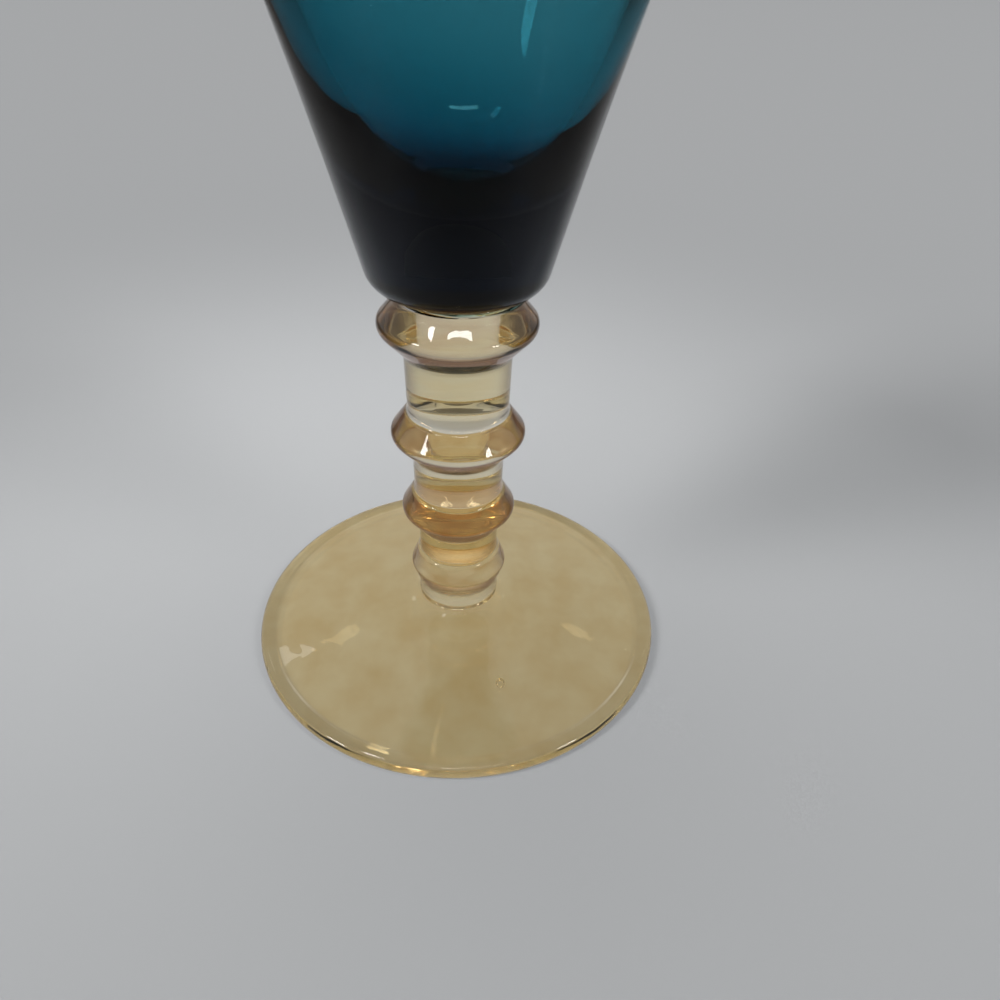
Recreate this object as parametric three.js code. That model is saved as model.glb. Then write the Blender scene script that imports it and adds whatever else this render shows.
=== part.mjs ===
// A wine goblet built as a glass house builds one: a blown bowl with a heavy base, a stem stacked from
// rings and short columns, and a shallow cone foot. The gathers are welded hot, flat face to flat face.
// Millimetres, +Z up. The origin is on the table, under the middle of the foot.
import * as THREE from "three";

// Driving dimensions of the foot
const FOOT_DIAMETER = 76;
const FOOT_RIM_THICKNESS = 2.8; // rounded over its whole edge
const FOOT_CONTACT_WIDTH = 1.2; // flat ring that stands on the table
const FOOT_HOLLOW_HEIGHT = 4.2; // table to the top of the hollow underneath
const FOOT_MIDDLE_THICKNESS = 5; // glass between that hollow and the seat of the stem
const FOOT_FLARE_WIDTH = 5; // radial reach of the curve between cone and stem
const FOOT_FLARE_DROP = 2; // how far that curve falls below the seat

// Driving dimensions of the stem, from the foot up. A column tapers between its two diameters.
// A ring is widest at half its length, and its seats follow the pieces above and below it.
const FOOT_COLLAR_LENGTH = 3.2;
const FOOT_COLLAR_DIAMETER = 14.4;
const LOWER_RING_LENGTH = 6;
const LOWER_RING_DIAMETER = 17.2;
const LOWER_RING_EDGE_RADIUS = 0.9;
const LOWER_COLUMN_LENGTH = 6.4;
const LOWER_COLUMN_BOTTOM_DIAMETER = 14;
const LOWER_COLUMN_TOP_DIAMETER = 14.2;
const MIDDLE_RING_LENGTH = 6.6;
const MIDDLE_RING_DIAMETER = 19.8;
const MIDDLE_RING_EDGE_RADIUS = 1.2;
const MIDDLE_COLUMN_LENGTH = 8.2;
const MIDDLE_COLUMN_BOTTOM_DIAMETER = 15.3;
const MIDDLE_COLUMN_TOP_DIAMETER = 15.6;
const UPPER_RING_LENGTH = 7.4;
const UPPER_RING_DIAMETER = 22.4;
const UPPER_RING_EDGE_RADIUS = 1.3;
const UPPER_COLUMN_LENGTH = 11.2;
const UPPER_COLUMN_BOTTOM_DIAMETER = 16.7;
const UPPER_COLUMN_TOP_DIAMETER = 17.3;
const BOWL_MERESE_LENGTH = 8.6;
const BOWL_MERESE_DIAMETER = 25.2;
const BOWL_MERESE_EDGE_RADIUS = 1.8;

// Driving dimensions of the bowl
const BOWL_HEIGHT = 91.4; // joint with the stem to the lip
const BOWL_SEAT_DIAMETER = 18.7;
const BOWL_NECK_DIAMETER = 17.2; // waist just above the joint
const BOWL_NECK_HEIGHT = 1;
const BOWL_SHOULDER_DIAMETER = 29.2; // where the round base turns into the flared wall
const BOWL_SHOULDER_HEIGHT = 7.6;
const BOWL_BASE_RISE = 1.6; // height of the corner that the round base cuts off
const BOWL_RIM_DIAMETER = 82;
const BOWL_WALL_BOW = 1.1; // how far the wall bows in from a straight cone, halfway up
const BOWL_LIP_THICKNESS = 2.2; // rounded over by fire polishing
const BOWL_WALL_THICKNESS = 2.9; // where the even wall runs into the thickening floor of the hollow
const BOWL_BASE_THICKNESS = 15.2; // solid glass between the joint and the hollow
const BOWL_FLOOR_DEPTH = 28; // height of the hollow's round floor
const BOWL_FLOOR_REACH = 8.2; // how far the floor's curve keeps its level way out from the axis
const BOWL_WALL_REACH = 25; // how far it keeps the wall's lean on the way down

// Facets around the axis, and along one curve of an outline
const FACETS = 48;
const CURVE_STEPS = 6;

const QUARTER_TURN = Math.PI / 2;
const FOOT_SEAT_HEIGHT = FOOT_HOLLOW_HEIGHT + FOOT_MIDDLE_THICKNESS;

const column = (name, length, bottomDiameter, topDiameter) => ({ name, length, bottomDiameter, topDiameter });
const ring = (name, length, widestDiameter, edgeRadius) => ({ name, length, widestDiameter, edgeRadius });
const STEM = [
  column("foot_collar", FOOT_COLLAR_LENGTH, FOOT_COLLAR_DIAMETER, FOOT_COLLAR_DIAMETER),
  ring("lower_ring", LOWER_RING_LENGTH, LOWER_RING_DIAMETER, LOWER_RING_EDGE_RADIUS),
  column("lower_column", LOWER_COLUMN_LENGTH, LOWER_COLUMN_BOTTOM_DIAMETER, LOWER_COLUMN_TOP_DIAMETER),
  ring("middle_ring", MIDDLE_RING_LENGTH, MIDDLE_RING_DIAMETER, MIDDLE_RING_EDGE_RADIUS),
  column("middle_column", MIDDLE_COLUMN_LENGTH, MIDDLE_COLUMN_BOTTOM_DIAMETER, MIDDLE_COLUMN_TOP_DIAMETER),
  ring("upper_ring", UPPER_RING_LENGTH, UPPER_RING_DIAMETER, UPPER_RING_EDGE_RADIUS),
  column("upper_column", UPPER_COLUMN_LENGTH, UPPER_COLUMN_BOTTOM_DIAMETER, UPPER_COLUMN_TOP_DIAMETER),
  ring("bowl_merese", BOWL_MERESE_LENGTH, BOWL_MERESE_DIAMETER, BOWL_MERESE_EDGE_RADIUS),
];

const tealGlass = new THREE.MeshStandardMaterial({ color: "#12505f", roughness: 0.05, metalness: 0 });
const paleGlass = new THREE.MeshStandardMaterial({ color: "#cfc5a2", roughness: 0.05, metalness: 0 });
const amberGlass = new THREE.MeshStandardMaterial({ color: "#a97f45", roughness: 0.08, metalness: 0 });

// One turned piece: an outline of [radius, height] pairs that starts and ends on the axis, spun about +Z.
function turned(name, outline, material, height) {
  const points = outline.map(([radius, z]) => new THREE.Vector2(radius, z));
  const geometry = new THREE.LatheGeometry(points, FACETS);
  geometry.rotateX(QUARTER_TURN);
  const mesh = new THREE.Mesh(geometry, material);
  mesh.name = name;
  mesh.position.z = height;
  return mesh;
}

// The points of a curve as [radius, height] pairs.
function along(curve) {
  return curve.getPoints(CURVE_STEPS).map((point) => [point.x, point.y]);
}

// A curve from one point to another that leaves and arrives along the lines to a corner point.
function bend(from, corner, to) {
  const [start, control, end] = [from, corner, to].map(([radius, z]) => new THREE.Vector2(radius, z));
  return along(new THREE.QuadraticBezierCurve(start, control, end));
}

// A curve from one point to another that leaves towards one handle and arrives from a second one.
function sweep(from, leave, arrive, to) {
  const handles = [from, leave, arrive, to].map(([radius, z]) => new THREE.Vector2(radius, z));
  return along(new THREE.CubicBezierCurve(...handles));
}

// A stretch of a circle about a centre, anticlockwise from one angle to a larger one.
function arc([radius, z], circleRadius, from, to) {
  return along(new THREE.EllipseCurve(radius, z, circleRadius, circleRadius, from, to));
}

// The angle at which a line from a point touches a circle. side is 1 for the touch reached
// anticlockwise from the point, and -1 for the other one.
function touchAngle([radius, z], [centreRadius, centreZ], circleRadius, side) {
  const [across, up] = [radius - centreRadius, z - centreZ];
  return Math.atan2(up, across) + side * Math.acos(circleRadius / Math.hypot(across, up));
}

// A short column: a plain tapered post.
function columnOutline({ length, bottomDiameter, topDiameter }) {
  return [[0, 0], [bottomDiameter / 2, 0], [topDiameter / 2, length], [0, length]];
}

// A ring: two cones back to back, joined by a rounded edge that both of them touch.
function ringOutline({ length, widestDiameter, edgeRadius }, bottomSeatDiameter, topSeatDiameter) {
  const bottomSeat = [bottomSeatDiameter / 2, 0];
  const topSeat = [topSeatDiameter / 2, length];
  const edgeCentre = [widestDiameter / 2 - edgeRadius, length / 2];
  const edgeStart = touchAngle(bottomSeat, edgeCentre, edgeRadius, 1);
  const edgeEnd = touchAngle(topSeat, edgeCentre, edgeRadius, -1);
  const edge = arc(edgeCentre, edgeRadius, edgeStart, edgeEnd);
  return [[0, 0], bottomSeat, ...edge, topSeat, [0, length]];
}

// The foot: a hollow underside, a flat ring on the table, a rounded rim, a straight cone and a flared seat.
function footOutline(seatRadius) {
  const edgeRadius = FOOT_RIM_THICKNESS / 2;
  const edgeCentre = [FOOT_DIAMETER / 2 - edgeRadius, edgeRadius];
  const contactInner = [edgeCentre[0] - FOOT_CONTACT_WIDTH, 0];
  const hollowTop = [0, FOOT_HOLLOW_HEIGHT];
  const hollow = bend(hollowTop, [contactInner[0] / 2, FOOT_HOLLOW_HEIGHT], contactInner);
  const rim = arc(edgeCentre, edgeRadius, -QUARTER_TURN, QUARTER_TURN);
  const seat = [seatRadius, FOOT_SEAT_HEIGHT];
  const flareFoot = [seatRadius + FOOT_FLARE_WIDTH, FOOT_SEAT_HEIGHT - FOOT_FLARE_DROP];
  const coneSlope = (flareFoot[1] - FOOT_RIM_THICKNESS) / (edgeCentre[0] - flareFoot[0]);
  const flare = bend(flareFoot, [seatRadius, flareFoot[1] + coneSlope * FOOT_FLARE_WIDTH], seat);
  return [...hollow, ...rim, ...flare, [0, FOOT_SEAT_HEIGHT]];
}

// The wall of the bowl between two points, bowed in towards the axis.
function bowedWall(from, to) {
  return bend(from, [(from[0] + to[0]) / 2 - 2 * BOWL_WALL_BOW, (from[1] + to[1]) / 2], to);
}

// The radius of a rising wall at a height, between the two points of its outline on either side.
function radiusAt(height, wall) {
  const above = wall.findIndex(([, z]) => z > height);
  const [[lowRadius, lowZ], [highRadius, highZ]] = wall.slice(above - 1, above + 1);
  return lowRadius + ((highRadius - lowRadius) * (height - lowZ)) / (highZ - lowZ);
}

// The bowl: a slight waist over the joint, a round base, a gently flared wall, a rounded lip, and a hollow
// that widens towards the lip.
function bowlOutline() {
  const seat = [BOWL_SEAT_DIAMETER / 2, 0];
  const shoulder = [BOWL_SHOULDER_DIAMETER / 2, BOWL_SHOULDER_HEIGHT];
  const lipRadius = BOWL_LIP_THICKNESS / 2;
  const lipCentre = [BOWL_RIM_DIAMETER / 2 - lipRadius, BOWL_HEIGHT - lipRadius];
  const wall = bowedWall(shoulder, [BOWL_RIM_DIAMETER / 2, lipCentre[1]]);
  const shoulderLean = (wall[1][0] - wall[0][0]) / (wall[1][1] - wall[0][1]);
  const baseCornerRadius = shoulder[0] - shoulderLean * (BOWL_SHOULDER_HEIGHT - BOWL_BASE_RISE);
  const neck = [BOWL_NECK_DIAMETER / 2, BOWL_NECK_HEIGHT];
  const base = bend(neck, [baseCornerRadius, BOWL_BASE_RISE], shoulder);
  const lip = arc(lipCentre, lipRadius, 0, 2 * QUARTER_TURN);
  const floorEdgeHeight = BOWL_BASE_THICKNESS + BOWL_FLOOR_DEPTH;
  const floorEdge = [radiusAt(floorEdgeHeight, wall) - BOWL_WALL_THICKNESS, floorEdgeHeight];
  const gain = (BOWL_WALL_THICKNESS - BOWL_LIP_THICKNESS) / (lipCentre[1] - floorEdgeHeight);
  const evenWall = wall.filter(([, z]) => z > floorEdgeHeight && z < lipCentre[1]).reverse();
  const hollow = evenWall.map(([radius, z]) => [radius - BOWL_LIP_THICKNESS - gain * (lipCentre[1] - z), z]);
  const lowest = hollow[hollow.length - 1];
  const rise = Math.hypot(lowest[0] - floorEdge[0], lowest[1] - floorEdge[1]);
  const wallHandle = floorEdge.map((value, axis) => value - ((lowest[axis] - value) * BOWL_WALL_REACH) / rise);
  const floorHandle = [BOWL_FLOOR_REACH, BOWL_BASE_THICKNESS];
  const floor = sweep(floorEdge, wallHandle, floorHandle, [0, BOWL_BASE_THICKNESS]);
  return [[0, 0], seat, ...base, ...wall.slice(1), ...lip.slice(1), ...hollow, ...floor];
}

const goblet = new THREE.Group();
goblet.name = "wine_goblet";
goblet.add(turned("foot", footOutline(FOOT_COLLAR_DIAMETER / 2), amberGlass, 0));

let height = FOOT_SEAT_HEIGHT;
STEM.forEach((piece, index) => {
  if (piece.widestDiameter) {
    const bottomSeatDiameter = STEM[index - 1].topDiameter;
    const topSeatDiameter = STEM[index + 1]?.bottomDiameter ?? BOWL_SEAT_DIAMETER;
    const outline = ringOutline(piece, bottomSeatDiameter, topSeatDiameter);
    goblet.add(turned(piece.name, outline, amberGlass, height));
  } else {
    goblet.add(turned(piece.name, columnOutline(piece), paleGlass, height));
  }
  height += piece.length;
});
goblet.add(turned("bowl", bowlOutline(), tealGlass, height));

export default goblet;
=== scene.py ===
# %% [markdown]
# # A wine goblet of welded glass
# The goblet is ten pieces of glass that were shaped hot and welded one on another: a teal bowl, a stem of
# rings and short columns, and a cone foot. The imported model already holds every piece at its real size.
# This lesson keeps those sizes, gives each piece its soft hand-made outline, and makes the glass.

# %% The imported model
import math

import bmesh
import bpy
from mathutils import Matrix, Vector
from mathutils.geometry import interpolate_bezier


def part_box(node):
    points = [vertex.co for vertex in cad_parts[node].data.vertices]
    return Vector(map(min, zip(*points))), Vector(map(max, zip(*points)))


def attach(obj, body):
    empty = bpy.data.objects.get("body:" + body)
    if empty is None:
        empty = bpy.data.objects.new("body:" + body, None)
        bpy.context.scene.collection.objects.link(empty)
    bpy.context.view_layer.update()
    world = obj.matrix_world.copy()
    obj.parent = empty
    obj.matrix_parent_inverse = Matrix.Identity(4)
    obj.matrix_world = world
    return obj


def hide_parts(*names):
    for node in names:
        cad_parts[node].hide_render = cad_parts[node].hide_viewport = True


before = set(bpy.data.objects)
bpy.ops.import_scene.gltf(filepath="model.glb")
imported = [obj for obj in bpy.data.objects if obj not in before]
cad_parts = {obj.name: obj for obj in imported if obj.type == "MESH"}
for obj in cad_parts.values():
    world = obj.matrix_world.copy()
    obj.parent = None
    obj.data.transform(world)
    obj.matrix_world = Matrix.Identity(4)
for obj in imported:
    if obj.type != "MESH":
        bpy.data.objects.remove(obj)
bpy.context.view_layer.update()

MM = 0.001
scene = bpy.context.scene

# %% [markdown]
# ## The camera
# The picture was taken from close by, looking down at the foot. The camera's place can be worked out from
# the round outlines, because a circle of known size seen from a known side makes just one ellipse. So the
# camera is set by real distances and angles, and nothing is shifted or stretched to fit.

# %% Place the camera
CAMERA_DISTANCE = 112.4 * MM  # in front of the stem's axis
CAMERA_HEIGHT = 111.1 * MM  # above the table
CAMERA_PITCH = math.radians(36.29)  # down from level
CAMERA_YAW = math.radians(3.78)  # to the right of the axis
CAMERA_ROLL = math.radians(2.09)
SENSOR_WIDTH = 36  # millimetres
FOCAL_LENGTH = 28.08  # millimetres
NEAREST = 2 * MM  # nothing closer than this to the lens is drawn

lens = bpy.data.cameras.new("lens")
lens.sensor_width = SENSOR_WIDTH
lens.lens = FOCAL_LENGTH
lens.clip_start = NEAREST
camera = bpy.data.objects.new("camera", lens)
camera.matrix_world = (
    Matrix.Translation((0, -CAMERA_DISTANCE, CAMERA_HEIGHT))
    @ Matrix.Rotation(-CAMERA_YAW, 4, "Z")
    @ Matrix.Rotation(math.radians(90) - CAMERA_PITCH, 4, "X")
    @ Matrix.Rotation(CAMERA_ROLL, 4, "Z")
)
scene.collection.objects.link(camera)
scene.camera = camera
print("camera at", [round(x / MM, 1) for x in camera.location], "mm")

# %% [markdown]
# ## Colours and nodes
# Colours are written as the hex values that a paint program shows. A shader works with light, which is
# linear, so one function turns hex into linear values. A second one adds a shader node, sets it and links
# it, so that each material below reads as a short list.

# %% Helpers for materials
def linear(code):
    """An sRGB hex colour as linear red, green, blue and an alpha of 1."""
    parts = [int(code[i:i + 2], 16) / 255 for i in (1, 3, 5)]
    return [p / 12.92 if p <= 0.04045 else ((p + 0.055) / 1.055) ** 2.4 for p in parts] + [1]


def add(tree, kind, settings=(), links=()):
    """Add a node. A setting is a property of the node or a socket's plain value; a link feeds a socket."""
    node = tree.nodes.new(kind)
    for name, value in dict(settings).items():
        if hasattr(node, str(name)):
            setattr(node, name, value)
        else:
            node.inputs[name].default_value = value
    for name, source in dict(links).items():
        tree.links.new(source, node.inputs[name])
    return node


def material(name):
    """An empty node material and its tree."""
    made = bpy.data.materials.new(name)
    made.use_nodes = True
    made.node_tree.nodes.clear()
    return made, made.node_tree


print("linear mid grey:", [round(x, 3) for x in linear("#808080")])

# %% [markdown]
# ## The table and the room
# Glass has little colour of its own to show. It shows what stands around it, so the stage matters as much
# as the shader. The table is a wide sheet of matt laminate, pale grey and without any gloss, and the room is
# the same pale grey on all sides. That is a plain ground, and it lights the goblet softly from everywhere.

# %% A wide flat sheet
STAGE_SIZE = 12  # metres
PALE_GREY = "#b5b6b7"


def stage_sheet(name, height, cover):
    """A level square sheet of the stage, at a height in metres."""
    sheet = bmesh.new()
    bmesh.ops.create_grid(sheet, x_segments=1, y_segments=1, size=STAGE_SIZE / 2)
    mesh = bpy.data.meshes.new(name)
    sheet.to_mesh(mesh)
    sheet.free()
    mesh.materials.append(cover)
    made = bpy.data.objects.new(name, mesh)
    made.location.z = height
    scene.collection.objects.link(made)
    return made


# %% The table
TABLE_DROP = 0.03 * MM  # a hair under the foot, so that the two faces don't lie in one plane

# Matt laminate: an even pale ground that scatters light and keeps the goblet's soft shadow.
laminate, tree = material("matt_table_laminate")
shader = add(tree, "ShaderNodeBsdfPrincipled", {
    "Base Color": linear(PALE_GREY), "Roughness": 0.6, "Specular IOR Level": 0.0})
add(tree, "ShaderNodeOutputMaterial", links={"Surface": shader.outputs["BSDF"]})
stage_sheet("table", -TABLE_DROP, laminate)
print("table", STAGE_SIZE, "m wide")

# %% The room
GLASS_BOUNCES = 40  # a ray crosses many faces in a stack of ten glass pieces
GLOSS_BOUNCES = 24

world = bpy.data.worlds.new("room")
world.use_nodes = True
world.node_tree.nodes.clear()
backdrop = add(world.node_tree, "ShaderNodeBackground", {"Color": linear(PALE_GREY), "Strength": 1.0})
add(world.node_tree, "ShaderNodeOutputWorld", links={"Surface": backdrop.outputs["Background"]})
scene.world = world
scene.view_settings.view_transform = "Standard"
scene.cycles.max_bounces = GLASS_BOUNCES
scene.cycles.transmission_bounces = GLASS_BOUNCES
scene.cycles.transparent_max_bounces = GLASS_BOUNCES
scene.cycles.glossy_bounces = GLOSS_BOUNCES
print("room of", PALE_GREY)

# %% [markdown]
# ## Painted shade in the glass
# On a pale ground in a pale room, clear glass nearly vanishes. A grey sheet over the table paints the shade
# of a darker room into the glass, and the rounded edges of the glass bend it into view as dark lines. It has
# a clear window for the goblet. The window's edges are soft, so that no hard line shows in the glass, and
# the sheet fades out far away. Only the glass sees it.

# %% Painted shade sheet around the goblet
SHADE_SHEET_LIFT = 1 * MM
PAINTED_SHADE_GREY = "#5f5a56"
WINDOW_SIDE = 0.10  # metres from the stem to the painted shade on either side
WINDOW_SPREAD = 0.30  # how much wider the window grows for each metre further back
SIDE_FADE = 0.10
WINDOW_FRONT = 0.06
FRONT_FADE = 0.08
FAR_START = 2.0
FAR_END = 5.0

# Painted shade: a matt grey sheet that gives the glass an even dark tone and no glints.
shade_sheet, tree = material("painted_shade_sheet")
place = add(tree, "ShaderNodeTexCoord")
spot = add(tree, "ShaderNodeSeparateXYZ", links={"Vector": place.outputs["Object"]})
aside = add(tree, "ShaderNodeMath", {"operation": "ABSOLUTE"}, {0: spot.outputs["X"]})
back = add(tree, "ShaderNodeMath", {"operation": "MAXIMUM", 1: 0.0}, {0: spot.outputs["Y"]})
widened = add(tree, "ShaderNodeMath", {"operation": "MULTIPLY_ADD", 1: -WINDOW_SPREAD},
              {0: back.outputs["Value"], 2: aside.outputs["Value"]})
side = add(tree, "ShaderNodeMapRange", {"From Min": WINDOW_SIDE, "From Max": WINDOW_SIDE + SIDE_FADE},
           {"Value": widened.outputs["Value"]})
front = add(tree, "ShaderNodeMapRange", {"From Min": -WINDOW_FRONT, "From Max": -WINDOW_FRONT - FRONT_FADE},
            {"Value": spot.outputs["Y"]})
around = add(tree, "ShaderNodeMath", {"operation": "MAXIMUM"},
             {0: side.outputs["Result"], 1: front.outputs["Result"]})
reach = add(tree, "ShaderNodeVectorMath", {"operation": "LENGTH"}, {0: place.outputs["Object"]})
near = add(tree, "ShaderNodeMapRange", {"From Min": FAR_END, "From Max": FAR_START},
           {"Value": reach.outputs["Value"]})
cover = add(tree, "ShaderNodeMath", {"operation": "MULTIPLY"},
            {0: around.outputs["Value"], 1: near.outputs["Result"]})
shader = add(tree, "ShaderNodeBsdfPrincipled", {"Base Color": linear(PAINTED_SHADE_GREY), "Roughness": 0.9},
             {"Alpha": cover.outputs["Value"]})
add(tree, "ShaderNodeOutputMaterial", links={"Surface": shader.outputs["BSDF"]})
# the painted shade sheet: only the glass sees it, and it lights and shades nothing
shade_sheet_object = stage_sheet("shade_sheet", SHADE_SHEET_LIFT, shade_sheet)
shade_sheet_object.visible_camera = False
shade_sheet_object.visible_diffuse = False
shade_sheet_object.visible_shadow = False
print("felt starts", WINDOW_SIDE, "m beside the stem")

# %% [markdown]
# ## Outlines
# Every piece of a goblet is turned, so it is an outline spun about one axis. An outline is a list of
# corners, and hot glass has no sharp ones, so each corner may name a rounding radius. The rounding is an
# arc between the two points where it touches the straight lines. Bevelling the finished mesh would also
# round it, but an arc in the outline keeps the exact radius and an even spacing.

# %% Rounded outlines
ARC_STEPS = 10


def rounded(corners):
    """The points of an outline in millimetres. A corner is (radius, height) or (radius, height, rounding)."""
    points = []
    for i, corner in enumerate(corners):
        here = Vector(corner[:2])
        if len(corner) == 2:
            points.append(here)
            continue
        before = (here - Vector(corners[i - 1][:2])).normalized()
        after = (Vector(corners[i + 1][:2]) - here).normalized()
        turn = before.angle(after)
        reach = corner[2] * math.tan(turn / 2)
        handle = corner[2] * 4 / 3 * math.tan(turn / 4)
        start = here - before * reach
        end = here + after * reach
        points += interpolate_bezier(start, start + before * handle, end - after * handle, end, ARC_STEPS)
    return points


print("a quarter turn of 1 mm has", len(rounded([(0, 0), (1, 0, 1), (1, 1)])), "points")

# %% [markdown]
# ## Turning and welding
# A spin turns the outline into a closed body, as a glassmaker turns the iron on the bench. Where two hot
# gathers were pressed together there is no air and no surface left, so light passes straight on. Each piece
# is still a closed body of its own. Its weld faces carry a mark, and the glass is fully clear at that mark.
# A separate clear material would also do, but then the renderer loses track of which body a ray is in.

# %% Turned pieces
TURNS = 192
WELD_GAP = 0.02  # millimetres between the two faces of a weld, so that they don't lie in one plane
DOUBLE = 1e-6  # metres between points that count as one
SEAT_MATCH = 0.01  # millimetres between a point and the level that it belongs to


def turned(points):
    """Spin the points of an outline about the stem's axis into one closed mesh."""
    shape = bmesh.new()
    line = [shape.verts.new((p[0] * MM, 0, p[1] * MM)) for p in points]
    edges = [shape.edges.new(pair) for pair in zip(line, line[1:])]
    bmesh.ops.spin(
        shape, geom=line + edges, axis=(0, 0, 1), cent=(0, 0, 0),
        angle=2 * math.pi, steps=TURNS, use_merge=True,
    )
    bmesh.ops.remove_doubles(shape, verts=shape.verts, dist=DOUBLE)
    bmesh.ops.recalc_face_normals(shape, faces=shape.faces)
    shape.normal_update()
    return shape


def heights(node):
    """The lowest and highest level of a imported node, in millimetres."""
    low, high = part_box(node)
    return low.z / MM, high.z / MM


def seat_radii(node):
    """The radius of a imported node's lowest and highest edge, in millimetres."""
    spots = [v.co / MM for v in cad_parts[node].data.vertices]
    radii = []
    for level in heights(node):
        radii.append(max(math.hypot(p.x, p.y) for p in spots if abs(p.z - level) < SEAT_MATCH))
    return radii


print("the bowl stands from", [round(level, 1) for level in heights("bowl")], "mm")

# %% [markdown]
# The clear pieces let nearly all light through to the table. A renderer that follows light only back from
# the camera would still give them a dark shadow, so only the dark bowl is left to cast one. The foot's thick
# bead also bends light away from the table, so it casts a thin shadow and the rest of the foot casts none.

# %% Finished pieces
SHARP_ANGLE = math.radians(40)
NO_HEIGHT = (1, 1, 0)  # keeps a place's distance from the axis and drops its height
LEVEL = 0.999  # the upright part of a level face's normal


def finished(node, shape, glass, slot, *weld_heights):
    """Make the mesh an object that stands for its node, with its level faces at the weld heights marked."""
    mark = shape.faces.layers.float.new("weld")
    for face in shape.faces:
        face.smooth = True
        level = face.calc_center_median().z / MM
        at_weld = any(abs(level - height) < WELD_GAP / 4 for height in weld_heights)
        face[mark] = 1.0 if at_weld and abs(face.normal.z) > LEVEL else 0.0
    mesh = bpy.data.meshes.new(node)
    shape.to_mesh(mesh)
    shape.free()
    mesh.materials.append(glass)
    mesh.set_sharp_from_angle(angle=SHARP_ANGLE)
    piece = bpy.data.objects.new(node + "_glass", mesh)
    scene.collection.objects.link(piece)
    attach(piece, "root")
    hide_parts(node)
    piece.visible_shadow = node in ("bowl", "foot")
    piece.visible_diffuse = node == "bowl"
    print(piece.name, len(mesh.polygons), "faces")
    return piece


def clear_at_welds(tree):
    """A value that is 0 on weld faces and 1 on every other face, for a shader's alpha."""
    mark = add(tree, "ShaderNodeAttribute", {"attribute_name": "weld"})
    solid = add(tree, "ShaderNodeMath", {"operation": "SUBTRACT", 0: 1.0}, {1: mark.outputs["Fac"]})
    return solid.outputs["Value"]


def shaded_outside(tree, alpha, radius):
    """The same alpha, but light on its way to the table passes freely within a radius of the axis, in mm."""
    place = add(tree, "ShaderNodeTexCoord")
    level = add(tree, "ShaderNodeVectorMath", {"operation": "MULTIPLY", 1: NO_HEIGHT},
                {0: place.outputs["Object"]})
    reach = add(tree, "ShaderNodeVectorMath", {"operation": "LENGTH"}, {0: level.outputs["Vector"]})
    inside = add(tree, "ShaderNodeMath", {"operation": "LESS_THAN", 1: radius * MM},
                 {0: reach.outputs["Value"]})
    path = add(tree, "ShaderNodeLightPath")
    free = add(tree, "ShaderNodeMath", {"operation": "MULTIPLY"},
               {0: path.outputs["Is Shadow Ray"], 1: inside.outputs["Value"]})
    kept = add(tree, "ShaderNodeMath", {"operation": "SUBTRACT", 0: 1.0}, {1: free.outputs["Value"]})
    both = add(tree, "ShaderNodeMath", {"operation": "MULTIPLY"}, {0: alpha, 1: kept.outputs["Value"]})
    return both.outputs["Value"]


# %% [markdown]
# ## Teal glass
# The bowl is coloured through and through, so its colour depends on how much glass the light crosses: the
# thin wall is teal, and the heavy base looks black. That is absorption inside the body, and a tint on the
# surface couldn't give it. Blown glass is never quite even, so its surface gets long shallow waves.

# %% Soft patches
WAVE_DETAIL = 1  # smooth waves
STAIN_DETAIL = 4  # patches with ragged edges


def patches(tree, size, squeeze, detail):
    """Cloudy patches from 0 to 1, a size in millimetres across and squeezed along the goblet's axis."""
    scale = 1 / (size * MM)
    place = add(tree, "ShaderNodeTexCoord")
    squeezed = add(tree, "ShaderNodeMapping", {"Scale": (scale, scale, scale * squeeze)},
                   {"Vector": place.outputs["Object"]})
    cloud = add(tree, "ShaderNodeTexNoise", {"Scale": 1.0, "Detail": detail, "Roughness": 0.55},
                {"Vector": squeezed.outputs["Vector"]})
    return cloud.outputs["Fac"]


# %% Blown teal glass
GLASS_IOR = 1.5
TEAL_DENSITY = 600  # per metre
TEAL_PASSES = [0.02, 0.615, 0.695, 1]  # linear share of red, green and blue that the body lets through
TEAL_WAVE_SIZE = 8.33  # millimetres
TEAL_WAVE_HEIGHT = 0.05 * MM
TEAL_SQUEEZE = 0.5  # below 1, because blowing drew the waves out along the axis
CLEAR = "#ffffff"  # a skin that takes no colour from the light
DIMMED_REFLECTIONS = [0.35, 0.35, 0.35, 1]  # painted shade: dims every reflection on the bowl to about a third of clear glass's

# Blown soda glass, fire polished: smooth, with shallow waves that bend its few reflections.
teal_glass, tree = material("blown_teal_soda_glass")
ripple = add(tree, "ShaderNodeBump", {"Strength": 1.0, "Distance": TEAL_WAVE_HEIGHT},
             {"Height": patches(tree, TEAL_WAVE_SIZE, TEAL_SQUEEZE, WAVE_DETAIL)})
shader = add(tree, "ShaderNodeBsdfPrincipled", {
    "Base Color": linear(CLEAR), "Roughness": 0.0, "IOR": GLASS_IOR, "Transmission Weight": 1,
    "Specular Tint": DIMMED_REFLECTIONS,
}, {"Normal": ripple.outputs["Normal"], "Alpha": clear_at_welds(tree)})
body = add(tree, "ShaderNodeVolumeAbsorption", {"Color": TEAL_PASSES, "Density": TEAL_DENSITY})
add(tree, "ShaderNodeOutputMaterial",
    links={"Surface": shader.outputs["BSDF"], "Volume": body.outputs["Volume"]})
print("teal lets through", [round(math.exp(-TEAL_DENSITY * (1 - c) * 2 * MM), 2) for c in TEAL_PASSES[:3]],
      "of red, green and blue in 2 mm")
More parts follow.
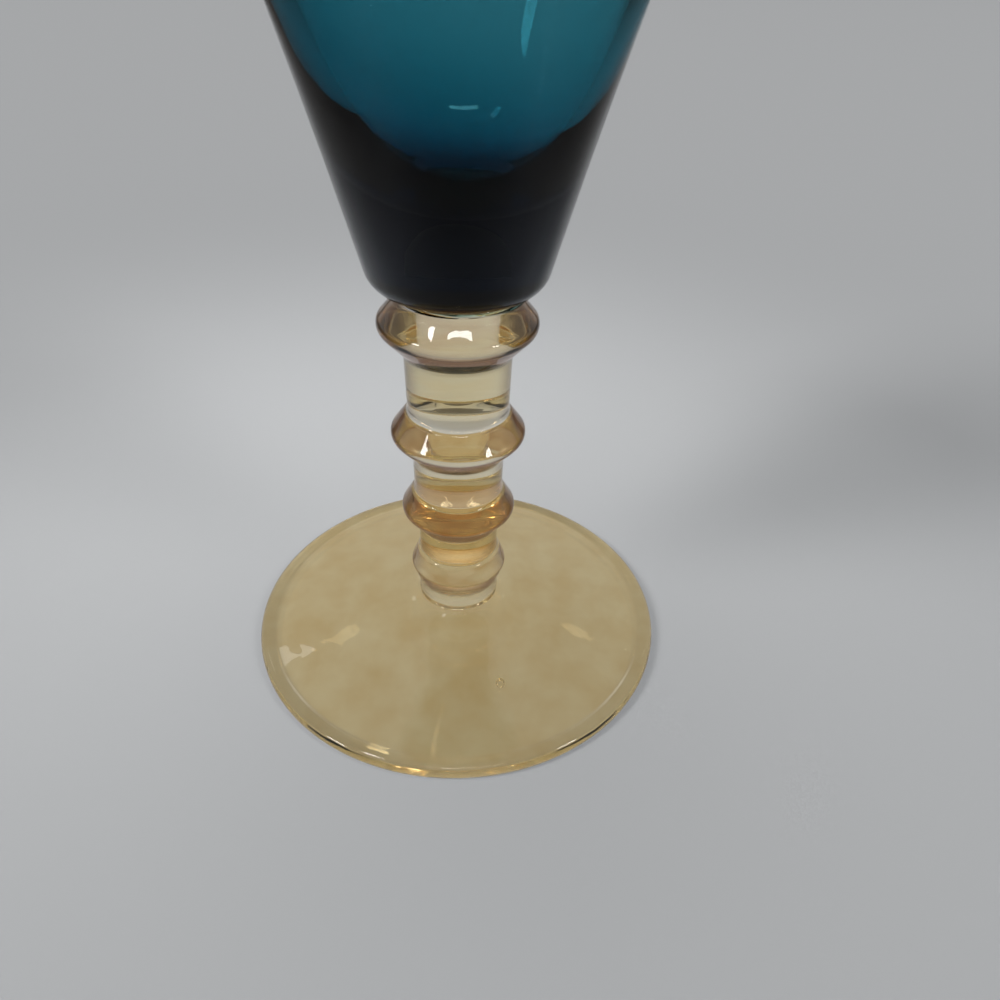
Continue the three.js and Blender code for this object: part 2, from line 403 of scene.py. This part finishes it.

# %% [markdown]
# ## Amber lustre
# The stem and foot are nearly clear glass with an amber lustre: a metal salt that is brushed or fumed on and
# fired, which stains the skin. The stain lies in soft patches. So the surface carries two tints that mix in a
# cloud, a painted purple-brown shade that darkens the glass where its surface turns away from the view, and
# the body under it a little amber. Each piece took the stain in its own strength.

# %% Lustred glass
AMBER_PASSES = [0.82, 0.66, 0.05, 1]
AMBER_DENSITY = 42  # per metre
STAIN_SIZE = 6.25  # millimetres, one patch of stain
TOOL_WAVE_SIZE = 5  # millimetres, one wave left by the tools
BAND_SQUEEZE = 4  # turning under the tools drew the patches on the stem out into bands
WAVE_SQUEEZE = 2
# painted shade: a purple-brown that darkens the glass where its surface turns away from the view
PAINTED_EDGE_SHADE = "#705453"
EDGE_WIDTH = 0.35  # how much further the surface turns until the painted edge shade is full
STAIN_START = 0.35  # the part of the cloud that has the pale tint
STAIN_FULL = 0.68  # and the part that has the deep one
BUBBLE_SHADE_SOONER = 0.27  # no stain reached the skin of a bubble, but the painted edge shade starts sooner on it and paints its dark outline


def lustred_glass(name, depth, pale, deep, edge, start, wave, banded=True, shade_from=0):
    """Stained glass with a painted edge shade. depth colours the body, pale and deep are the stain's two
    tints, edge is how strong the painted shade is where the surface turns away and start how far it has
    turned where that shade starts. wave is the height of the waves and shade_from the radius from which on a
    piece may cast a shadow, both in millimetres."""
    made, tree = material("amber_lustre_and_edge_shade_on_" + name)
    cloud = patches(tree, STAIN_SIZE, BAND_SQUEEZE if banded else 1, STAIN_DETAIL)
    stain = add(tree, "ShaderNodeValToRGB", links={"Fac": cloud})
    stain.color_ramp.elements[0].position = STAIN_START
    stain.color_ramp.elements[0].color = linear(pale)
    stain.color_ramp.elements[1].position = STAIN_FULL
    stain.color_ramp.elements[1].color = linear(deep)
    bare = add(tree, "ShaderNodeAttribute", {"attribute_name": "bare"})
    tint = add(tree, "ShaderNodeMixRGB", {"Color2": linear(CLEAR)},
               {"Fac": bare.outputs["Fac"], "Color1": stain.outputs["Color"]})
    slant = add(tree, "ShaderNodeLayerWeight", {"Blend": 0.5})
    side = add(tree, "ShaderNodeNewGeometry")
    outside = add(tree, "ShaderNodeMath", {"operation": "SUBTRACT", 0: 1.0}, {1: side.outputs["Backfacing"]})
    turning = add(tree, "ShaderNodeMath", {"operation": "MULTIPLY"},
                  {0: slant.outputs["Facing"], 1: outside.outputs["Value"]})
    turned_more = add(tree, "ShaderNodeMath", {"operation": "MULTIPLY_ADD", 1: BUBBLE_SHADE_SOONER},
                      {0: bare.outputs["Fac"], 2: turning.outputs["Value"]})
    # painted shade: where the outer face turns away from the view, the skin darkens towards
    # PAINTED_EDGE_SHADE
    edge_shade = add(tree, "ShaderNodeMapRange", {
        "From Min": start, "From Max": start + EDGE_WIDTH, "To Max": edge,
    }, {"Value": turned_more.outputs["Value"]})
    skin = add(tree, "ShaderNodeMixRGB", {"Color2": linear(PAINTED_EDGE_SHADE)},
               {"Fac": edge_shade.outputs["Result"], "Color1": tint.outputs["Color"]})
    ripple = add(tree, "ShaderNodeBump", {"Strength": 1.0, "Distance": wave * MM},
                 {"Height": patches(tree, TOOL_WAVE_SIZE, WAVE_SQUEEZE if banded else 1, WAVE_DETAIL)})
    shader = add(tree, "ShaderNodeBsdfPrincipled", {
        "Roughness": 0.0, "IOR": GLASS_IOR, "Transmission Weight": 1,
    }, {
        "Base Color": skin.outputs["Color"],
        "Normal": ripple.outputs["Normal"],
        "Alpha": shaded_outside(tree, clear_at_welds(tree), shade_from),
    })
    body = add(tree, "ShaderNodeVolumeAbsorption", {"Color": AMBER_PASSES, "Density": AMBER_DENSITY * depth})
    add(tree, "ShaderNodeOutputMaterial",
        links={"Surface": shader.outputs["BSDF"], "Volume": body.outputs["Volume"]})
    print(made.name)
    return made


# %% [markdown]
# ## The bowl
# The bowl was blown and swung out to a wide flare, and a thick lump of glass was left in its base. So there
# are two outlines: the outside, and a hollow that ends well above the bottom in a round floor. A shell of
# even thickness would miss the dark base. The hollow also leans a little to the right, as a bubble does when
# the gather isn't quite even on the iron.

# %% Outside and hollow of the bowl
NECK_IN = 0.5  # millimetres, as are all lengths here
NECK_HEIGHT = 0.8
NECK_ROUNDING = 0.7
BASE_RADIUS = 13.1
BASE_HEIGHT = 1.5
BASE_ROUNDING = 4.5
FLARE_RADIUS = 25.6
FLARE_HEIGHT = 49
FLARE_ROUNDING = 800  # a bend so slight that the side looks straight
LIP_OUTSIDE = 41.39
LIP_INSIDE = 39.05
LIP_ROUNDING = 0.9
WALL_RADIUS = 30.1
WALL_HEIGHT = 67.3
HOLLOW_RADIUS = 22.2
HOLLOW_HEIGHT = 43.2
HOLLOW_HANDLE = 22.2
FLOOR_HEIGHT = 14.2
FLOOR_HANDLE = 10.9
FLOOR_STEPS = 24

low, high = heights("bowl")
seat = low + WELD_GAP / 2
seat_radius = seat_radii("bowl")[0]
hollow_edge = Vector((HOLLOW_RADIUS, low + HOLLOW_HEIGHT))
wall = Vector((WALL_RADIUS, low + WALL_HEIGHT))
floor = Vector((0, low + FLOOR_HEIGHT))
outline = rounded([
    (0, seat),
    (seat_radius, seat),
    (seat_radius - NECK_IN, low + NECK_HEIGHT, NECK_ROUNDING),
    (BASE_RADIUS, low + BASE_HEIGHT, BASE_ROUNDING),
    (FLARE_RADIUS, low + FLARE_HEIGHT, FLARE_ROUNDING),
    (LIP_OUTSIDE, high, LIP_ROUNDING),
    (LIP_INSIDE, high, LIP_ROUNDING),
    (*wall, FLARE_ROUNDING),
    tuple(hollow_edge),
])
down_the_wall = hollow_edge - (wall - hollow_edge).normalized() * HOLLOW_HANDLE
hollow = interpolate_bezier(hollow_edge, down_the_wall, floor + Vector((FLOOR_HANDLE, 0)), floor, FLOOR_STEPS)
bowl = turned(outline + hollow[1:])
print("glass under the hollow:", FLOOR_HEIGHT, "mm")

# %% Lean of the hollow
LEAN = 0.8  # millimetres at the floor
LEAN_HEIGHT = 58.2  # where the lean starts
FACES_UP = 0.05  # the least upright part of a normal in the hollow

for vert in bowl.verts:
    below = low + LEAN_HEIGHT - vert.co.z / MM
    if vert.normal.z > FACES_UP and below > 0:
        vert.co.x += LEAN * MM * below / (LEAN_HEIGHT - FLOOR_HEIGHT)
finished("bowl", bowl, teal_glass, "bowl_glass", seat)

# %% [markdown]
# ## The columns
# Between the rings the stem is drawn down to short columns. They are the palest glass, because little stain
# was brushed on them. Each one flares slightly where it was pressed onto a ring, so its outline ends in a
# small cove. The lowest one, the collar, runs straight into the foot.

# %% Four columns
COVE = 0.5  # millimetres
COVE_ROUNDING = 1.5
COLUMN_LOOKS = {
    "upper_column": {"depth": 0.85, "pale": "#fffdf8", "deep": "#fff5e4"},
    "middle_column": {"depth": 0.55, "pale": "#fffdf8", "deep": "#fff5e4"},
    "lower_column": {"depth": 1.0, "pale": "#fff2d8", "deep": "#fbdca8"},
    "foot_collar": {"depth": 0.3, "pale": "#fffdf8", "deep": "#fff5e4"},
}
# how strong the painted edge shade is on the columns, and how far the surface has turned where it starts
COLUMN_EDGE = 0.7
COLUMN_START = 0.4
COLUMN_WAVE = 0.02

for node, look in COLUMN_LOOKS.items():
    low, high = heights(node)
    low, high = low + WELD_GAP / 2, high - WELD_GAP / 2
    bottom, top = seat_radii(node)
    flare = 0 if node == "foot_collar" else COVE
    column = turned(rounded([
        (0, low),
        (bottom + flare, low),
        (bottom, low + COVE, COVE_ROUNDING),
        (top, high - COVE, COVE_ROUNDING),
        (top + COVE, high),
        (0, high),
    ]))
    glass = lustred_glass(node, edge=COLUMN_EDGE, start=COLUMN_START, wave=COLUMN_WAVE, **look)
    finished(node, column, glass, "column_glass", low, high)

# %% [markdown]
# ## The rings
# Each ring, or merese, is a small gather that was dropped on the stem, spun and pinched with the jacks into
# a blunt edge. The outline is two slopes that meet in a rounded edge, and the rounding gets smaller down the
# stem as the rings do. The stain is strongest here, and strongest of all on the third ring.

# %% Four rings
RING_EDGES = {"bowl_merese": 1.8, "upper_ring": 1.3, "middle_ring": 1.2, "lower_ring": 0.9}  # roundings, mm
# edge and start set the painted edge shade; the other keys set the stain and the body
RING_LOOKS = {
    "bowl_merese": {"depth": 0.45, "pale": "#fbf0e4", "deep": "#f0d8cc", "edge": 1.0, "start": 0.15},
    "upper_ring": {"depth": 0.1, "pale": "#fffaf0", "deep": "#fff0d8", "edge": 1.0, "start": 0.22},
    "middle_ring": {"depth": 0.3, "pale": "#dba86c", "deep": "#a8672f", "edge": 1.0, "start": 0.2},
    "lower_ring": {"depth": 0.5, "pale": "#f8e6c8", "deep": "#d2a468", "edge": 1.0, "start": 0.35},
}
RING_WAVE = 0.045

for node, rounding in RING_EDGES.items():
    low, high = heights(node)
    low, high = low + WELD_GAP / 2, high - WELD_GAP / 2
    bottom, top = seat_radii(node)
    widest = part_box(node)[1].x / MM
    slope = math.atan((widest - (bottom + top) / 2) / ((high - low) / 2))
    tip = widest + rounding * (1 / math.cos(slope) - 1)
    flare = 0 if node == "bowl_merese" else COVE
    ring = turned(rounded([
        (0, low),
        (bottom + COVE, low),
        (tip, (low + high) / 2, rounding),
        (top + flare, high),
        (0, high),
    ]))
    finished(node, ring, lustred_glass(node, wave=RING_WAVE, **RING_LOOKS[node]), "ring_glass", low, high)

# %% [markdown]
# ## The foot
# The foot is a gather that was spun out hot into a shallow cone and stands on its rim. Surface tension drew
# the rim up into a round bead, which catches a thin pale line. Under the cone it is hollow. A small bubble
# was caught in its front, as in much hand-made glass, and pressed flat when the foot was spun. It is a
# second skin inside the body that faces inwards, so light crosses air there.

# %% The cone and its bead
UNDERSIDE = 4.2  # millimetres above the table at the middle
UNDERSIDE_FLAT = 17
UNDERSIDE_ROUNDING = 30
CONTACT_INSIDE = 35.4
CONTACT_ROUNDING = 0.3
BEAD_HEIGHT = 3.0
BEAD_ROUNDING = 1.4
BEAD_WIDTH = 2.2
BEAD_SHOULDER = 0.7
BEAD_SHADE = 0.6  # how far in from the edge the bead casts a shadow
GROOVE_WIDTH = 2.9
GROOVE_HEIGHT = 2.55
GROOVE_ROUNDING = 0.5
CONE_TOP_OUT = 5
CONE_TOP_DOWN = 2
CONE_RISE = 0.95
FLARE_STEPS = 16

low, high = heights("foot")
weld = high - WELD_GAP / 2
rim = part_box("foot")[1].x / MM
collar = seat_radii("foot_collar")[0]
cone_top = Vector((collar + CONE_TOP_OUT, weld - CONE_TOP_DOWN))
flare_corner = Vector((collar, cone_top.y + CONE_RISE))
top = Vector((collar, weld))
outline = rounded([
    (0, UNDERSIDE),
    (UNDERSIDE_FLAT, UNDERSIDE, UNDERSIDE_ROUNDING),
    (CONTACT_INSIDE, 0, CONTACT_ROUNDING),
    (rim, 0, BEAD_ROUNDING),
    (rim, BEAD_HEIGHT, BEAD_ROUNDING),
    (rim - BEAD_WIDTH, BEAD_HEIGHT, BEAD_SHOULDER),
    (rim - GROOVE_WIDTH, GROOVE_HEIGHT, GROOVE_ROUNDING),
    tuple(cone_top),
])
flare = interpolate_bezier(
    cone_top, cone_top.lerp(flare_corner, 2 / 3), top.lerp(flare_corner, 2 / 3), top, FLARE_STEPS)
foot = turned(outline + flare[1:] + [(0, weld)])
print("foot", round(2 * rim, 1), "mm across")

# %% The bubble
BUBBLE_PLACE = Vector((7.2, -21.4, 4.0)) * MM
BUBBLE_HALVES = Vector((0.78, 1.05, 0.36)) * MM  # half its size each way
BUBBLE_SIDES = 32
BUBBLE_LEVELS = 24
# edge and start set the painted edge shade; the other keys set the stain and the body
FOOT_LOOK = {"depth": 0.12, "pale": "#f7e0aa", "deep": "#edcf91", "edge": 1.0, "start": 0.6}
FOOT_WAVE = 0.04

bare = foot.faces.layers.float.new("bare")
bubble = bmesh.ops.create_uvsphere(foot, u_segments=BUBBLE_SIDES, v_segments=BUBBLE_LEVELS, radius=1)
bmesh.ops.scale(foot, verts=bubble["verts"], vec=BUBBLE_HALVES)
bmesh.ops.translate(foot, verts=bubble["verts"], vec=BUBBLE_PLACE)
skin = {face for vert in bubble["verts"] for face in vert.link_faces}
for face in skin:
    face[bare] = 1.0
bmesh.ops.reverse_faces(foot, faces=list(skin))
foot_glass = lustred_glass("foot", wave=FOOT_WAVE, banded=False, shade_from=rim - BEAD_SHADE, **FOOT_LOOK)
finished("foot", foot, foot_glass, "foot_glass", weld)

# %% [markdown]
# ## Shines
# The bright marks on glass are pictures of windows and ceiling lamps. They are small panels far away, each
# set by the direction that it is seen in, its width and height in degrees and its brightness. A wider, dim
# panel low at the back stands for a pale wall: the foot's bead bends it into a thin line. It fades towards
# its edges, because a wall has no outline in glass. All of them are only seen in the glass and don't light
# the table, so they add sparkle without a second set of shadows.

# %% Panels to be seen in the glass
FAR = 40  # metres
SHINES = {
    "window_left": {"azimuth": -62, "elevation": 27, "width": 9, "tall": 7, "brightness": 20},
    "panel_left": {"azimuth": -53, "elevation": 52, "width": 6, "tall": 8, "brightness": 20},
    "window_right": {"azimuth": 54, "elevation": 27, "width": 9, "tall": 7, "brightness": 20},
    "panel_front": {"azimuth": 3, "elevation": 57, "width": 28, "tall": 2.6, "brightness": 16},
    "panel_back_left": {"azimuth": -140, "elevation": 44, "width": 4, "tall": 4, "brightness": 2.2},
    "panel_back_right": {"azimuth": 140, "elevation": 43, "width": 2, "tall": 2, "brightness": 2.2},
}
PALE_WALL = {"azimuth": 180, "elevation": 9, "width": 80, "tall": 18, "brightness": 8}


def panel(name, azimuth, elevation, width, tall, brightness):
    """A far rectangular lamp that faces the goblet. Azimuth 0 is the front, and angles are in degrees."""
    lamp = bpy.data.lights.new(name, "AREA")
    lamp.shape = "RECTANGLE"
    lamp.size = 2 * FAR * math.tan(math.radians(width) / 2)
    lamp.size_y = 2 * FAR * math.tan(math.radians(tall) / 2)
    lamp.energy = brightness * math.pi * lamp.size * lamp.size_y
    turn = math.radians(azimuth)
    rise = math.radians(elevation)
    towards = Vector((math.sin(turn) * math.cos(rise), -math.cos(turn) * math.cos(rise), math.sin(rise)))
    made = bpy.data.objects.new(name, lamp)
    made.location = towards * FAR
    made.rotation_euler = towards.to_track_quat("Z", "Y").to_euler()
    scene.collection.objects.link(made)
    return made


def seen_in_glass(shine, soft):
    """Only rays that no matt surface has scattered see the panel. A soft one fades out towards its edges."""
    shine.visible_diffuse = False
    shine.data.use_nodes = True
    tree = shine.data.node_tree
    tree.nodes.clear()
    path = add(tree, "ShaderNodeLightPath")
    strength = add(tree, "ShaderNodeMath", {"operation": "LESS_THAN", 1: 0.5},
                   {0: path.outputs["Diffuse Depth"]})
    if soft:
        place = add(tree, "ShaderNodeNewGeometry")
        split = add(tree, "ShaderNodeSeparateXYZ", links={"Vector": place.outputs["Parametric"]})
        for direction in ("X", "Y"):
            fade = add(tree, "ShaderNodeMath", {"operation": "PINGPONG", 1: 0.5},
                       {0: split.outputs[direction]})
            strength = add(tree, "ShaderNodeMath", {"operation": "MULTIPLY"},
                           {0: strength.outputs["Value"], 1: fade.outputs["Value"]})
    glow = add(tree, "ShaderNodeEmission", links={"Strength": strength.outputs["Value"]})
    add(tree, "ShaderNodeOutputLight", links={"Surface": glow.outputs["Emission"]})


for name, look in SHINES.items():
    seen_in_glass(panel(name, **look), soft=False)
pale_wall = panel("pale_wall", **PALE_WALL)
pale_wall.visible_transmission = False
seen_in_glass(pale_wall, soft=True)
print(len(SHINES), "panels and a wall shine in the glass")

# %% [markdown]
# ## Light on the table
# The room alone would light the table evenly. Two broad lamps from the left and the right add the soft
# shadow beside the foot, and a softbox above the goblet adds a pool of light that fades towards the edges of
# the picture. The glass doesn't see these three, because it already has its shines.

# %% Broad lamps and the softbox
KEYS = {
    "key_left": {"azimuth": -63, "elevation": 44, "share": 0.25},
    "key_right": {"azimuth": 55, "elevation": 44, "share": 0.12},
}
KEY_WIDTH = 12  # degrees
KEY_TALL = 20
SOFTBOX_PLACE = Vector((-20, 45, 250)) * MM
SOFTBOX_SIZE = 150 * MM
SOFTBOX_FAN = math.radians(75)
SOFTBOX_POWER = 0.065  # watts

lights = []
for name, key in KEYS.items():
    seen = math.radians(KEY_WIDTH) * math.radians(KEY_TALL) * math.sin(math.radians(key["elevation"]))
    brightness = key["share"] * math.pi / seen
    lights.append(panel(name, key["azimuth"], key["elevation"], KEY_WIDTH, KEY_TALL, brightness))
softbox = bpy.data.lights.new("softbox", "AREA")
softbox.size = SOFTBOX_SIZE
softbox.spread = SOFTBOX_FAN
softbox.energy = SOFTBOX_POWER
pool = bpy.data.objects.new("softbox", softbox)
pool.location = SOFTBOX_PLACE
scene.collection.objects.link(pool)
lights.append(pool)
for light in lights:
    light.visible_glossy = False
    light.visible_transmission = False
print("lamps for the table:", [light.name for light in lights])
